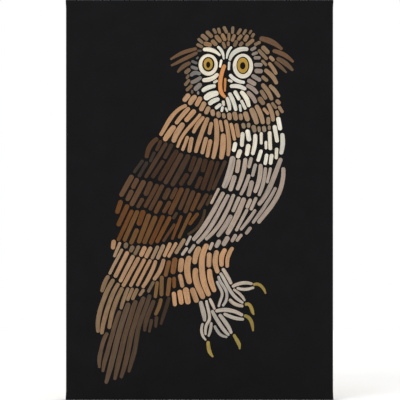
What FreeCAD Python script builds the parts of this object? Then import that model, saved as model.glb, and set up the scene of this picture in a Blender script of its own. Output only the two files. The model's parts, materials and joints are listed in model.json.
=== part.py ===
"""An owl painted in separate raised brush strokes on a black stretched canvas.

The canvas is tacked over four mitred stretcher bars with corner keys, and hangs from two D-rings.
Millimetres, +Z up. The origin is the middle of the face that the canvas stands on: the painted side
looks along -Y, +X is to the right of someone who faces it. A stroke is listed by the points of its
middle line, x and z from the middle of the picture's lower edge, from root to tip, then its width.
"""
import FreeCAD
import Part
import math
import os

Vector = FreeCAD.Vector
Rotation = FreeCAD.Rotation
Placement = FreeCAD.Placement

ALONG_X = Vector(1, 0, 0)
ALONG_Y = Vector(0, 1, 0)
ALONG_Z = Vector(0, 0, 1)

SIZES = {
    # the panel
    "panel_width": 400,
    "panel_height": 600,
    "canvas_thickness": 0.6,
    "turnover": 24,
    # the stretcher
    "bar_width": 40,
    "bar_depth": 19,
    "front_slope": 2.5,
    "tongue_thickness": 4,
    "tongue_margin": 7,
    "fit_clearance": 0.25,
    "hole_clearance": 0.1,
    # the corner keys
    "key_length": 30,
    "key_wide": 12,
    "key_narrow": 7,
    "key_thickness": 3,
    "key_seat": 5,
    "key_gap": 3,
    "key_stagger": 11,
    # the staples
    "staple_crown": 12,
    "staple_wire": 1.0,
    "staple_leg": 8,
    "staple_inset": 13,
    "staple_pitch": 72,
    # the hangers
    "hanger_drop": 150,
    "strap_gap": 2.4,
    "strap_width": 10,
    "strap_length": 16,
    "strap_thickness": 1.0,
    "ring_wire": 3,
    "ring_radius": 13.5,
    "ring_leg": 6,
    "hinge_clearance": 0.2,
    "screw_drop": 9.5,
    "screw_head": 7,
    "screw_head_top": 4.6,
    "screw_slot": 1,
    "screw_head_height": 2,
    "screw_shank": 3,
    "screw_length": 13,
    # the paint
    "paint_thickness": 0.8,
    "picture_width": 400,
    "picture_height": 600,
    "picture_drop": 0.75,
    "root_reach": 0.3,
    "tip_reach": 1.0,
    "paint_gap": 0.6,
}

document = FreeCAD.newDocument("OwlCanvas")
sheet = document.addObject("Spreadsheet::Sheet", "Sizes")
for row, (alias, number) in enumerate(SIZES.items(), start=1):
    sheet.set("A%d" % row, alias)
    sheet.set("B%d" % row, str(number))
    sheet.setAlias("B%d" % row, alias)
document.recompute()


def size(alias):
    """The number that the sheet holds under this name."""
    return float(sheet.get(alias))


def bind(item, **expressions):
    """Ties properties of a document object to the sheet."""
    for name, expression in expressions.items():
        item.setExpression(name, expression)


def wedge(name, **expressions):
    """A Part::Wedge: a rectangle at Ymin that tapers to another at Ymax, its faces flat."""
    item = document.addObject("Part::Wedge", name)
    zero = {key: "0" for key in ("Xmin", "Ymin", "Zmin", "X2min", "Z2min")}
    zero.update(expressions)
    bind(item, **zero)
    return item


def box(name, length, width, height):
    """A Part::Box, its three sides tied to the sheet."""
    item = document.addObject("Part::Box", name)
    bind(item, Length=length, Width=width, Height=height)
    return item


def cylinder(name, radius, height):
    """A Part::Cylinder along its own Z, tied to the sheet."""
    item = document.addObject("Part::Cylinder", name)
    bind(item, Radius=radius, Height=height)
    return item


def fuse(name, pieces):
    """One solid out of several objects."""
    item = document.addObject("Part::MultiFuse", name)
    item.Shapes = pieces
    item.Refine = True
    return item


def cut(name, base, tool):
    """The base less the tool."""
    item = document.addObject("Part::Cut", name)
    item.Base = base
    item.Tool = tool
    return item


def group(name, pieces):
    """Several objects kept as separate solids in one shape."""
    item = document.addObject("Part::Compound", name)
    item.Links = pieces
    return item


def put(item, x, y, z, rotation=Rotation()):
    """Places an object and hands it back."""
    item.Placement = Placement(Vector(x, y, z), rotation)
    return item


def labelled(item, label):
    """Gives a finished sub-part the name that its file takes."""
    item.Label = label
    finished.append(item)
    return item


finished = []

# The stretcher stands inside the canvas: its outline, its back plane and its front plane.
skin = size("canvas_thickness")
frame_width = size("panel_width") - 2 * skin
frame_height = size("panel_height") - 2 * skin
half_depth = size("bar_depth") / 2
middle_height = size("panel_height") / 2

# The hangers sit on the bare wood beside the folded margin, this far from the panel's side.
hanger_inset = skin + size("turnover") + size("strap_gap") + size("strap_width") / 2
hanger_height = size("panel_height") - size("hanger_drop")

# Bars are drawn lying along X with the outer edge at Y=0 and the back at Z=0, then stood up.
STAND_UP = Rotation(ALONG_X, 90)
SIDES = (
    ("bottom", 0, "panel_width"),
    ("right", -90, "panel_height"),
    ("top", 180, "panel_width"),
    ("left", 90, "panel_height"),
)


def side_placement(turn, span, lift=0.0):
    """Stands a piece drawn along X on one side of the panel; lift moves it inwards off the edge."""
    turned = Rotation(ALONG_Y, turn)
    across = frame_height if turn in (0, 180) else frame_width
    corner = Vector(-span / 2, half_depth, -across / 2 + lift)
    spot = turned.multVec(corner) + Vector(0, 0, middle_height)
    return Placement(spot, turned * STAND_UP)


def staple_places(span):
    """Middles of the staples along one side, evenly spread and clear of the corners."""
    free = span - 2 * size("bar_width") - size("staple_crown")
    count = max(2, int(round(free / size("staple_pitch"))) + 1)
    step = free / (count - 1)
    first = size("bar_width") + size("staple_crown") / 2
    return [first + step * number for number in range(count)]


def staple_solid(grow=0.0):
    """One staple, crown on top at Z=-skin and legs down into the bar; grow gives its clearance."""
    wire = size("staple_wire") + 2 * grow
    crown = size("staple_crown") + 2 * grow
    leg = size("staple_leg") + grow
    back = -skin
    outer = Part.makeBox(crown, wire, wire, Vector(-crown / 2, -wire / 2, back - wire + grow))
    legs = [
        Part.makeBox(wire, wire, leg + wire, Vector(x, -wire / 2, back - wire + grow))
        for x in (-crown / 2, crown / 2 - wire)
    ]
    return outer.fuse(legs).removeSplitter()


def staples_of(span, grow=0.0):
    """The staples of one side, in the bar's own drawing position."""
    one = staple_solid(grow)
    copies = []
    for along in staple_places(span):
        copy = one.copy()
        copy.translate(Vector(along, size("staple_inset"), 0))
        copies.append(copy)
    return copies


def shape_object(name, shape):
    """A Part::Feature for a shape that no primitive or feature gives."""
    item = document.addObject("Part::Feature", name)
    item.Shape = shape
    return item


# ---------------------------------------------------------------- stretcher bars and corner keys

def bar_wood(name, long_side):
    """The mitred bar: its front slopes back so that the canvas touches only the outer edge."""
    span = "Sizes.%s - 2 * Sizes.canvas_thickness" % long_side
    return wedge(
        name, Xmax=span, Ymax="Sizes.bar_width", Zmax="Sizes.bar_depth",
        X2min="Sizes.bar_width", X2max=span + " - Sizes.bar_width",
        Z2max="Sizes.bar_depth - Sizes.front_slope")


def tongue(name):
    """The thin triangle beyond the mitre of a lying bar, which locks into a standing one."""
    leg = "Sizes.bar_width - 2 * Sizes.tongue_margin"
    item = wedge(name, Xmax=leg, Ymax=leg, X2max="0",
                 Zmax="Sizes.tongue_thickness", Z2max="Sizes.tongue_thickness")
    margin = size("tongue_margin")
    low = (size("bar_depth") - size("tongue_thickness")) / 2
    return put(item, margin, size("bar_width") - margin, low, Rotation(ALONG_Z, -90))


def mortise(name):
    """The room that a standing bar gives a tongue, larger by the clearance all round."""
    low = "Sizes.tongue_margin - Sizes.fit_clearance"
    high = "Sizes.bar_width - Sizes.tongue_margin + Sizes.fit_clearance"
    bottom = "(Sizes.bar_depth - Sizes.tongue_thickness) / 2 - Sizes.fit_clearance"
    top = "(Sizes.bar_depth + Sizes.tongue_thickness) / 2 + Sizes.fit_clearance"
    return wedge(name, Xmin=low, Ymin=low, Xmax=high, Ymax=high, X2min=high, X2max=high,
                 Zmin=bottom, Z2min=bottom, Zmax=top, Z2max=top)


def key_plate(name, start):
    """A tapered key that lies along the bar's inner edge, its narrow end towards the corner."""
    item = wedge(name, Xmin="-Sizes.key_narrow", Xmax="0", Ymax="Sizes.key_length",
                 X2min="-Sizes.key_wide", X2max="0",
                 Zmax="Sizes.key_thickness", Z2max="Sizes.key_thickness")
    low = (size("bar_depth") - size("key_thickness")) / 2
    return put(item, start, size("bar_width") - size("key_seat"), low, Rotation(ALONG_Z, -90))


def key_slot(name, start):
    """The slot in the bar's inner edge that the key is pushed into."""
    item = box(name, "Sizes.key_length + 2 * Sizes.fit_clearance",
               "Sizes.key_seat + Sizes.fit_clearance",
               "Sizes.key_thickness + 2 * Sizes.fit_clearance")
    gap = size("fit_clearance")
    low = (size("bar_depth") - size("key_thickness")) / 2 - gap
    return put(item, start - gap, size("bar_width") - size("key_seat") - gap, low)


def mirrored(name, source, span):
    """The same piece at the other end of the bar."""
    item = document.addObject("Part::Mirroring", name)
    item.Source = source
    item.Normal = ALONG_X
    item.Base = Vector(span / 2, 0, 0)
    return item


def screw_hole(name, turn):
    """The hole for the hanger's screw, in the drawing position of a standing bar."""
    item = cylinder(name, "Sizes.screw_shank / 2 + Sizes.hole_clearance",
                    "Sizes.screw_length + Sizes.hole_clearance")
    from_bottom = hanger_height - size("screw_drop") - skin
    along = frame_height - from_bottom if turn > 0 else from_bottom
    return put(item, along, hanger_inset - skin, 0)


key_number = 0
for side, turn, long_side in SIDES:
    span = size(long_side) - 2 * skin
    lying = side in ("bottom", "top")
    wood = bar_wood("Wood_" + side, long_side)
    if lying:
        near = tongue("Tongue_" + side)
        wood = fuse("Tenoned_" + side, [wood, near, mirrored("FarTongue_" + side, near, span)])
        removed = []
    else:
        near = mortise("Mortise_" + side)
        far = mirrored("FarMortise_" + side, near, span)
        removed = [near, far, screw_hole("Hole_" + side, turn)]
    key_start = size("bar_width") + size("key_gap" if lying else "key_stagger")
    slot = key_slot("Slot_" + side, key_start)
    removed += [slot, mirrored("FarSlot_" + side, slot, span)]
    staple_room = Part.makeCompound(staples_of(span, size("hole_clearance")))
    removed.append(shape_object("StapleHoles_" + side, staple_room))
    bar = cut("Bar_" + side, wood, group("Removed_" + side, removed))
    bar.Placement = side_placement(turn, span)
    labelled(bar, "stretcher_bar_" + side)
    key = key_plate("Key_" + side, key_start)
    for plate in (key, mirrored("FarKey_" + side, key, span)):
        key_number += 1
        placed = document.addObject("Part::Compound", "PlacedKey%d" % key_number)
        placed.Links = [plate]
        placed.Placement = side_placement(turn, span)
        labelled(placed, "corner_key_%d" % key_number)


# ---------------------------------------------------------------- canvas and its staples

def canvas_wrap(side, turn, long_side):
    """One side of the cloth: the strip over the edge and the margin folded onto the back."""
    span = "Sizes.%s - 2 * Sizes.canvas_thickness" % long_side
    thick = "Sizes.canvas_thickness"
    edge = wedge("EdgeStrip_" + side, Xmin="-" + thick, Xmax=span + " + " + thick, Ymin="-" + thick,
                 Ymax="0", X2min="0", X2max=span, Zmin="-" + thick, Z2min="-" + thick,
                 Zmax="Sizes.bar_depth", Z2max="Sizes.bar_depth")
    margin = wedge("Margin_" + side, Xmax=span, Ymax="Sizes.turnover", X2min="Sizes.turnover",
                   X2max=span + " - Sizes.turnover", Zmin="-" + thick, Z2min="-" + thick,
                   Zmax="0", Z2max="0")
    cloth = fuse("Wrap_" + side, [edge, margin])
    across = size(long_side) - 2 * skin
    pierced_at = staples_of(across, size("hole_clearance"))
    holes = shape_object("ClothHoles_" + side, Part.makeCompound(pierced_at))
    pierced = cut("PiercedWrap_" + side, cloth, holes)
    pierced.Placement = side_placement(turn, across)
    return labelled(pierced, "canvas_wrap_" + side)


front = box("CanvasFront", "Sizes.panel_width", "Sizes.canvas_thickness", "Sizes.panel_height")
put(front, -size("panel_width") / 2, -half_depth - skin, 0)
labelled(front, "canvas_front")

staple_shapes = []
for side, turn, long_side in SIDES:
    canvas_wrap(side, turn, long_side)
    span = size(long_side) - 2 * skin
    for copy in staples_of(span):
        copy.Placement = side_placement(turn, span) * copy.Placement
        staple_shapes.append(copy)
labelled(shape_object("Staples", Part.makeCompound(staple_shapes)), "staples")


# ---------------------------------------------------------------- hangers

TO_BACK = Rotation(ALONG_X, -90)
ALONG_PIVOT = Rotation(ALONG_Y, 90)
standoff = size("ring_wire") / 2 + size("hinge_clearance") + size("strap_thickness")


def hanger_strap(name):
    """A steel strip folded round the ring's straight side, its two layers screwed to the bar."""
    outside = "Sizes.ring_wire / 2 + Sizes.hinge_clearance + Sizes.strap_thickness"
    loop = cylinder("Loop_" + name, outside, "Sizes.strap_width")
    put(loop, -size("strap_width") / 2, 0, 0, ALONG_PIVOT)
    tab = box("Tab_" + name, "Sizes.strap_width", "2 * Sizes.strap_thickness", "Sizes.strap_length")
    put(tab, -size("strap_width") / 2, -standoff, -size("strap_length"))
    bore = cylinder("Bore_" + name, "Sizes.ring_wire / 2 + Sizes.hinge_clearance",
                    "Sizes.strap_width + 2")
    put(bore, -size("strap_width") / 2 - 1, 0, 0, ALONG_PIVOT)
    hole = cylinder("ScrewHole_" + name, "Sizes.screw_shank / 2 + Sizes.hole_clearance",
                    "4 * Sizes.strap_thickness")
    put(hole, 0, -standoff - size("strap_thickness"), -size("screw_drop"), TO_BACK)
    strip = fuse("Folded_" + name, [loop, tab])
    return cut("Strap_" + name, strip, group("Open_" + name, [bore, hole]))


def hanger_ring(name):
    """A D-ring of round wire, hanging straight down from its straight side."""
    wire = "Sizes.ring_wire / 2"
    radius = size("ring_radius")
    leg = size("ring_leg")
    pivot = cylinder("Pivot_" + name, wire, "2 * Sizes.ring_radius")
    put(pivot, -radius, 0, 0, ALONG_PIVOT)
    pieces = [pivot]
    for word, x in (("A", -radius), ("B", radius)):
        side_wire = cylinder("Leg%s_%s" % (word, name), wire, "Sizes.ring_leg")
        pieces.append(put(side_wire, x, 0, -leg))
        corner = document.addObject("Part::Sphere", "Corner%s_%s" % (word, name))
        bind(corner, Radius=wire)
        pieces.append(put(corner, x, 0, 0))
    bow = document.addObject("Part::Torus", "Bow_" + name)
    bind(bow, Radius1="Sizes.ring_radius", Radius2=wire, Angle3="180")
    pieces.append(put(bow, 0, 0, -leg, Rotation(ALONG_X, -90)))
    return fuse("Ring_" + name, pieces)


def hanger_screw(name):
    """A round-headed wood screw with a straight slot, its head on the strap."""
    head = document.addObject("Part::Cone", "Head_" + name)
    bind(head, Radius1="Sizes.screw_head / 2", Radius2="Sizes.screw_head_top / 2",
         Height="Sizes.screw_head_height")
    shank = cylinder("Shank_" + name, "Sizes.screw_shank / 2",
                     "Sizes.screw_length + 2 * Sizes.strap_thickness")
    put(shank, 0, 0, -size("screw_length") - 2 * size("strap_thickness"))
    slot = box("DriverSlot_" + name, "Sizes.screw_head", "Sizes.screw_slot",
               "Sizes.screw_head_height / 2")
    put(slot, -size("screw_head") / 2, -size("screw_slot") / 2, size("screw_head_height") / 2)
    return cut("Screw_" + name, fuse("Blank_" + name, [head, shank]), slot)


back = half_depth
screws = []
for side, sign in (("left", -1), ("right", 1)):
    x = sign * (size("panel_width") / 2 - hanger_inset)
    z = hanger_height
    strap = put(hanger_strap(side), x, back + standoff, z)
    labelled(strap, "hanger_strap_" + side)
    ring = put(hanger_ring(side), x, back + standoff, z)
    labelled(ring, "hanger_ring_" + side)
    seat = back + 2 * size("strap_thickness")
    screws.append(put(hanger_screw(side), x, seat, z - size("screw_drop"), TO_BACK))
labelled(group("Screws", screws), "hanger_screws")


# ---------------------------------------------------------------- the painted strokes

picture_scale = min(size("panel_width") / size("picture_width"),
                    size("panel_height") / size("picture_height"))
picture_foot = (size("panel_height") - picture_scale * size("picture_height")) / 2
picture_foot -= size("picture_drop")
root_reach = size("root_reach") * picture_scale
tip_reach = size("tip_reach") * picture_scale
paint_plane = -half_depth - skin
ROOT_SHARE = 0.93
CAP_SHARE = 0.85


def on_panel(x, z):
    """A point of the picture on the front of the canvas."""
    return Vector(picture_scale * x, paint_plane, picture_foot + picture_scale * z)


def smooth_edge(points):
    """A straight edge through two points, or a smooth curve through more."""
    if len(points) == 2:
        return Part.LineSegment(*points).toShape()
    curve = Part.BSplineCurve()
    curve.interpolate(points)
    return curve.toShape()


def middle_line(stroke, longer):
    """The points down the middle of a stroke, its two ends moved out by the extra length."""
    line = [on_panel(stroke[at], stroke[at + 1]) for at in range(0, len(stroke) - 1, 2)]
    for end, inner in ((0, 1), (-1, -2)):
        outwards = line[end] - line[inner]
        outwards.normalize()
        line[end] = line[end] + outwards * (longer * picture_scale)
    return line


def spread_widths(strokes):
    """How wide each stroke ends up: it spreads by its group's share until the black line between
    it and a neighbour is as narrow as the gap, and never gets narrower than it was listed.

    A stroke here is its middle line, its listed width and the share by which it may spread.
    """
    gap = size("paint_gap") * picture_scale
    edges = [smooth_edge(line) for line, width, share in strokes]
    boxes = [edge.BoundBox for edge in edges]
    listed = [width for line, width, share in strokes]
    wish = [width * share for line, width, share in strokes]
    growth = list(wish)
    for one in range(len(strokes)):
        for other in range(one + 1, len(strokes)):
            near = (listed[one] + listed[other] + wish[one] + wish[other]) / 2 + gap
            around = FreeCAD.BoundBox(boxes[one])
            around.enlarge(near)
            if not around.intersect(boxes[other]):
                continue
            between = edges[one].distToShape(edges[other])[0]
            slack = max(0.0, between - gap - (listed[one] + listed[other]) / 2)
            both = wish[one] + wish[other]
            growth[one] = min(growth[one], 2 * slack * wish[one] / both)
            growth[other] = min(growth[other], 2 * slack * wish[other] / both)
    return [width + more for width, more in zip(listed, growth)]


def stroke_face(middle, width, tip_share):
    """The flat shape that one stroke of the brush leaves: two long sides and two round ends."""
    last = len(middle) - 1
    left, right, headings = [], [], []
    for at, point in enumerate(middle):
        heading = middle[min(at + 1, last)] - middle[max(at - 1, 0)]
        heading.normalize()
        across = heading.cross(ALONG_Y)
        share = ROOT_SHARE if at == 0 else tip_share if at == last else 1.0
        half = across * (width * share / 2)
        left.append(point + half)
        right.append(point - half)
        headings.append(heading)
    tip = middle[last] + headings[last] * (width * tip_share / 2 * CAP_SHARE + tip_reach)
    root = middle[0] - headings[0] * (width * ROOT_SHARE / 2 * CAP_SHARE + root_reach)
    edges = [
        smooth_edge(left),
        Part.Arc(left[last], tip, right[last]).toShape(),
        smooth_edge(right[::-1]),
        Part.Arc(right[0], root, left[0]).toShape(),
    ]
    return Part.Face(Part.Wire(edges))


def ellipse_wire(x, z, half_width, half_height):
    """An ellipse on the panel, its longer half given as whichever is the larger."""
    centre = on_panel(x, z)
    wide, tall = half_width * picture_scale, half_height * picture_scale
    top = centre + ALONG_Z * tall
    side = centre + ALONG_X * wide
    ellipse = Part.Ellipse(top, side, centre) if tall > wide else Part.Ellipse(side, top, centre)
    return Part.Wire(ellipse.toShape())


def ring_face(outer, inner):
    """A ring of paint between two ellipses."""
    face = Part.Face(ellipse_wire(*outer))
    return face.cut(Part.Face(ellipse_wire(*inner))).Faces[0]


def painted(name, faces):
    """A group of strokes: flat shapes raised off the canvas by the thickness of the paint."""
    flat = shape_object("Flat_" + name, Part.makeCompound(faces))
    raised = document.addObject("Part::Extrusion", "Paint_" + name)
    raised.Base = flat
    raised.DirMode = "Custom"
    raised.Dir = Vector(0, -1, 0)
    raised.Solid = True
    bind(raised, LengthFwd="Sizes.paint_thickness")
    return labelled(raised, name)


# Every stroke is x, z, x, z ... from root to tip, then its width.
STROKES = {
    "ear_tuft_left": [
        (-7, 526.5, -24, 521.5, -41, 512.5, 5.5), (-6, 520, -23, 511.5, -40, 503, 5.5),
        (-16.5, 505, -25, 500, -31, 494, 5)],
    "ear_tuft_right": [
        (93.5, 542, 108.5, 537, 121.5, 528, 8), (112.5, 523.5, 126.5, 518, 138.5, 509, 6.5),
        (118.5, 511.5, 129.5, 504.5, 138, 496.5, 5.5), (114.5, 506, 121.5, 500, 128.5, 493, 4)],
    "temple_left": [
        (-2, 524, 1, 524, 4), (-20, 492, -16.5, 495, 5.5), (-18.8, 483.3, -17, 486.3, 4.3),
        (-21, 473.5, -16.5, 479, 5), (-18.5, 465.5, -13, 471, 5), (-11, 464, -11, 462, 3)],
    "cheek_left": [
        (-2.5, 514, -3.5, 513, 2.5), (-10.5, 508, -5.5, 506, 4), (-11, 499.5, -5, 497.5, 5),
        (-12, 488, -6, 491, -1, 490, 6), (-11, 477, -5, 479.5, 0.5, 483, 6),
        (-5.5, 467, 0, 472.5, 6.5), (-2, 462, -2, 460.5, 3)],
    "crown_outer": [
        (-2.5, 533, 2.5, 530.5, 5.2), (-1, 541, 3.5, 537, 5), (4.5, 546.5, 10, 542, 6.5),
        (12, 551.5, 17, 546.5, 6.5), (21.5, 555.5, 23.5, 552, 5), (28.5, 556.5, 30, 552, 5),
        (37, 558.5, 40, 552.5, 5.5), (50, 558.5, 49.5, 552, 5), (61, 555.5, 58, 550.5, 5),
        (69, 554.5, 66.5, 550, 4.5), (77, 553.5, 75.5, 551, 4), (81, 548.5, 79.3, 546, 4.8)],
    "crown_middle": [
        (25.5, 545, 30, 539.5, 6.5), (34.5, 547.5, 37.5, 541.5, 6), (44, 549, 44, 541.5, 4.5),
        (52, 546.5, 49.5, 540.5, 5.5), (62, 546, 59, 542, 5.5), (71, 545.5, 68.5, 541, 5.6),
        (79.5, 539.5, 72, 533.5, 6), (89.5, 536.5, 84.5, 534, 5.5)],
    "crown_inner": [
        (9, 534.5, 15, 533, 7), (20, 538, 23.5, 534.5, 7), (35.5, 535.5, 37.5, 530, 5),
        (43, 536, 43, 533.5, 4), (55, 537.5, 53, 533, 6), (63.5, 535.5, 61.5, 533, 5.3)],
    "brows": [
        (8, 526, 20, 524.5, 29, 518.5, 6), (28.5, 529, 33.5, 523, 36, 513.5, 4.5),
        (47, 528.5, 43, 522.5, 41, 514.5, 4), (70, 526.5, 59.5, 525.5, 51, 520.5, 46, 512, 6.5)],
    "nostril_strokes": [
        (32.5, 509, 31, 501.5, 3.5), (44.5, 506, 44, 497.5, 4)],
    "beak": [
        (37, 501, 32.5, 487, 31, 472, 33, 461, 37, 456, 6), (38.5, 481.5, 38, 465, 3.6)],
    "face_left": [
        (7, 480, 14, 481, 20.5, 483.5, 25.5, 487.5, 6), (22.5, 477, 25, 478.5, 4),
        (6, 465, 13, 469, 21, 471, 6), (10.5, 454, 16.5, 458, 24, 460, 7.5),
        (16, 445.5, 21, 449, 26.5, 451, 5.5), (25.5, 439, 30, 442.5, 5.5)],
    "face_right": [
        (46.5, 487, 54, 480.5, 65, 477, 5), (44.5, 479.5, 47, 478.5, 4),
        (48, 471, 57, 471, 67, 467.5, 5.5)],
    "chin": [
        (35.5, 447.5, 36, 444, 4.5), (34.5, 439, 33.5, 435, 4.5), (39.5, 437.5, 41, 434.5, 3.5),
        (41.5, 452.5, 44, 445.5, 45, 437.5, 5.5), (45.5, 459, 50.5, 448.5, 54, 437, 5.5),
        (53.5, 462, 58.5, 453, 6), (63.5, 461.5, 70, 453, 73.5, 443, 6), (63, 448.5, 68, 438.5, 5),
        (60.5, 442, 61.5, 435, 4)],
    "cheek_right": [
        (78.5, 526, 82, 528, 5), (80.5, 519, 84.5, 520.5, 5), (83.5, 513.5, 88.5, 513.5, 5),
        (84.5, 503, 91, 503, 6), (85.5, 494, 91, 493.5, 6), (80.5, 486, 89, 481, 5.5),
        (74.5, 479, 81.5, 475, 6.5), (72.5, 471.5, 79.5, 467.5, 85, 462, 5.5),
        (73.5, 461, 79.5, 454.5, 83, 448.5, 5.5)],
    "head_side_right": [
        (95.5, 528.5, 101.5, 522.5, 6.5), (89.5, 524, 99.5, 513, 5.5), (94.5, 508.5, 99, 503.5, 4.5),
        (106.5, 514, 109.5, 511, 5), (105, 504.5, 110, 498, 114, 491, 5),
        (99.5, 494.5, 108, 487, 114.5, 477, 5.5), (95, 484.5, 100, 480.5, 5),
        (95, 472.5, 102, 463.5, 107.5, 453, 5.5), (106.5, 471, 113, 464, 118, 457, 5),
        (93, 463, 98.5, 454, 5.5), (90.5, 452, 94.5, 446.5, 7), (116.5, 448.5, 118.5, 446.5, 5.5),
        (109.5, 445, 113.5, 439.5, 5), (119.5, 439.5, 123.5, 433.5, 5), (116, 432.5, 117, 429, 4.5)],
    "ruff": [
        (-17.5, 456.5, -21.5, 451.5, 6.5), (-7.5, 454.5, -11.5, 450, -13.5, 446.5, 6.5),
        (0.5, 452, -3.5, 444.5, 6.5), (6.5, 444.5, 3, 437.5, 6), (13, 437.5, 10.5, 432.5, 6.5),
        (19.5, 433, 20, 430, 6.5), (28.5, 430, 28.5, 427.5, 5.5), (36, 428, 36.5, 426, 4.5),
        (44.5, 428, 45, 424, 6), (52.5, 429.5, 54, 423.5, 6.5), (61.5, 427, 62, 423.5, 5),
        (69, 429.5, 71.5, 422.5, 6.5), (78.5, 435, 82, 427, 85, 418, 6.5),
        (86, 440, 91, 430, 94.5, 418, 5.5), (97, 436.5, 101.5, 431, 5),
        (103.5, 442.5, 108, 432, 110, 421.5, 6), (103, 422, 103, 417, 6), (65.5, 413, 66, 411, 5),
        (73.5, 413.5, 73.5, 412, 4.5), (81, 409.5, 82, 405.5, 6), (89, 408.5, 89.5, 405, 5),
        (96.5, 408.5, 97, 406, 5), (104.5, 410, 104.5, 408.5, 4)],
    "cape": [
        (-22, 441, -40, 427.5, -50, 412, -57, 400, 6), (-17.5, 436.5, -26, 427, -33.5, 417.5, 6.5),
        (-39.5, 408.5, -46, 400, -50.5, 393, 6.5), (-9, 432.5, -18.5, 421.5, 6),
        (-26, 412.5, -33, 402, -38, 391, 6.5), (0, 427.5, -14, 411, -25, 397, -32, 382, 5),
        (4.5, 423, -3, 413, -8, 404, 6), (-18.5, 393.5, -24.5, 377.5, 4.5),
        (-12, 391.5, -15, 375.5, 5.5), (11.5, 421, 3, 400, -5, 375, 6.5), (17.5, 414, 15, 402, 5.5),
        (9.5, 391.5, 4.5, 373, 5.5), (16, 388, 12, 368, 5.5),
        (24.5, 419, 26, 400, 25, 385, 21, 366, 7), (31.5, 417.5, 33.5, 406, 5),
        (35.5, 396, 35, 380, 33, 366, 6.5), (39.5, 417.5, 43, 400, 44, 383, 43, 370, 5),
        (47.5, 413, 50, 403, 52, 393, 5), (55.5, 412, 58, 398, 6.5)],
    "breast_white": [
        (53.5, 384.5, 51.5, 376, 5.5), (60.5, 373.5, 58, 366.5, 6), (64.5, 399.5, 63.5, 383.5, 6.5),
        (72, 403, 74, 392, 6.5), (73, 381.5, 71, 370, 6),
        (83.5, 397, 82.8, 384, 80, 371, 5.2), (92.5, 400, 92.5, 386.5, 5), (92, 373.5, 88, 361, 5),
        (99.5, 387, 99.5, 379, 4.5), (100.5, 367.5, 98.5, 356, 4.8), (105, 401, 106, 378.5, 6),
        (108, 367, 106.5, 356.5, 5.2), (112.5, 410, 116, 390, 5.5), (115.5, 376.5, 115, 364.5, 5),
        (118, 422, 120.5, 408.5, 6), (124, 398, 124.5, 385, 122.5, 372, 5.5)],
    "breast_grey_upper": [
        (49.5, 361.5, 46, 345, 38, 323, 7), (58.5, 358, 56.5, 345, 5), (52, 334, 47, 318, 5.5),
        (68.5, 360, 65, 340, 57.5, 319, 6.5), (77, 361.5, 74.5, 352, 6),
        (73.5, 336, 68.5, 322, 63, 311, 5), (83.5, 352, 80, 339, 5), (78, 326, 74, 310, 6),
        (91.5, 351, 90, 335, 84, 315, 5.5), (98.5, 346.5, 96, 328, 90, 310, 5.5),
        (106, 346.5, 102, 329, 4.8), (121, 360, 113.5, 340, 103, 315, 90.5, 296, 6.5),
        (113, 317, 105, 302.5, 93.5, 285, 81.5, 268.5, 4.8),
        (125.5, 346, 123.5, 325, 115, 303, 102, 284, 90, 269, 6)],
    "breast_grey_lower": [
        (28, 316, 18.5, 297.5, 4.5), (34.5, 309.5, 21.5, 285.5, 7.5, 262.5, -7.5, 243, 5.5),
        (42, 306, 29.5, 282.5, 14, 256.5, -1.5, 238.5, 6),
        (50.5, 306.5, 43, 288.5, 29, 263, 11.5, 243.5, 5.8),
        (58.5, 302.5, 51, 286, 4.5), (46, 275, 37.5, 260.5, 29, 249, 5.5),
        (66, 300.5, 57.5, 280.5, 43, 252.5, 6), (75.5, 299.5, 72, 291.5, 6), (84, 302, 78, 288.5, 5),
        (70.5, 284.5, 56, 257, 5.2), (82.5, 284, 73.3, 270.5, 63.3, 258, 4.8)],
    "breast_grey_hem": [
        (-14, 245, -19, 235, 4.5), (-8.5, 232, -14.5, 223.5, 4), (-19.5, 227.5, -25, 220, 4),
        (19, 235, 16, 228.5, 5), (29, 238, 26, 232.5, 5.5), (41.5, 243, 37, 235.5, 6.2),
        (53.5, 247, 49.5, 240.5, 5.5), (62, 247.5, 57, 241, 5), (75.5, 258, 71, 252, 4.5)],
    "wing_row_upper": [
        (-65.5, 390.5, -73.5, 382, -78.5, 368, 6), (-59, 386.5, -63, 378, 5),
        (-68.5, 369.5, -72.5, 361, 4.5), (-86.5, 357.5, -96, 344.5, 4), (-80, 354.5, -89, 338.5, 4.5),
        (-51.5, 383, -63.5, 363, -79, 337.5, 5), (-43, 381, -50.5, 366.5, 5),
        (-56, 356.5, -68.5, 337.5, 5), (-35.5, 371.5, -47.5, 351.5, -58, 334, 6.5),
        (-28.5, 366.5, -49.5, 329, 6.5), (-18, 364.5, -27.5, 346.5, -39, 326, 6),
        (-8, 362, -13, 347.5, 5.5), (-20, 336.5, -26.5, 326.5, 5.5),
        (0.5, 359.5, -5.5, 344.5, -14.5, 327, 5.5), (8.5, 358, 5.5, 347, 6), (1, 332, -3.5, 322, 5.5),
        (18, 355.5, 5.5, 320, 6.5), (27, 355, 14.5, 318, 6), (37.5, 356, 21.5, 319.5, 6)],
    "wing_row_middle": [
        (-102.5, 334, -116, 310, 6), (-94.5, 329.5, -98.5, 321.5, 5.5),
        (-102.5, 312, -107, 303.5, 5.5), (-84.5, 326, -100.5, 296, 6), (-74, 324, -79.5, 311.5, 6.5),
        (-86.5, 300, -91, 292.5, 5), (-64.5, 321, -80, 293, 5.5), (-56.5, 320, -72.5, 289, 5.5),
        (-47, 314.5, -51.5, 305.5, 6), (-59, 295.5, -64.5, 284.5, 5.5), (-36, 315.5, -41, 305.5, 5),
        (-46, 295.5, -52, 285, 5), (-27.5, 315, -43, 283, 6), (-18, 314.5, -28.5, 289.5, 5),
        (-10, 311, -20.5, 285, 5.5), (-1.5, 307.5, -10.5, 287.5, 5), (10, 307, 0, 289.5, 5),
        (17, 305.5, 12, 295.5, 5)],
    "wing_row_lower": [
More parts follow.
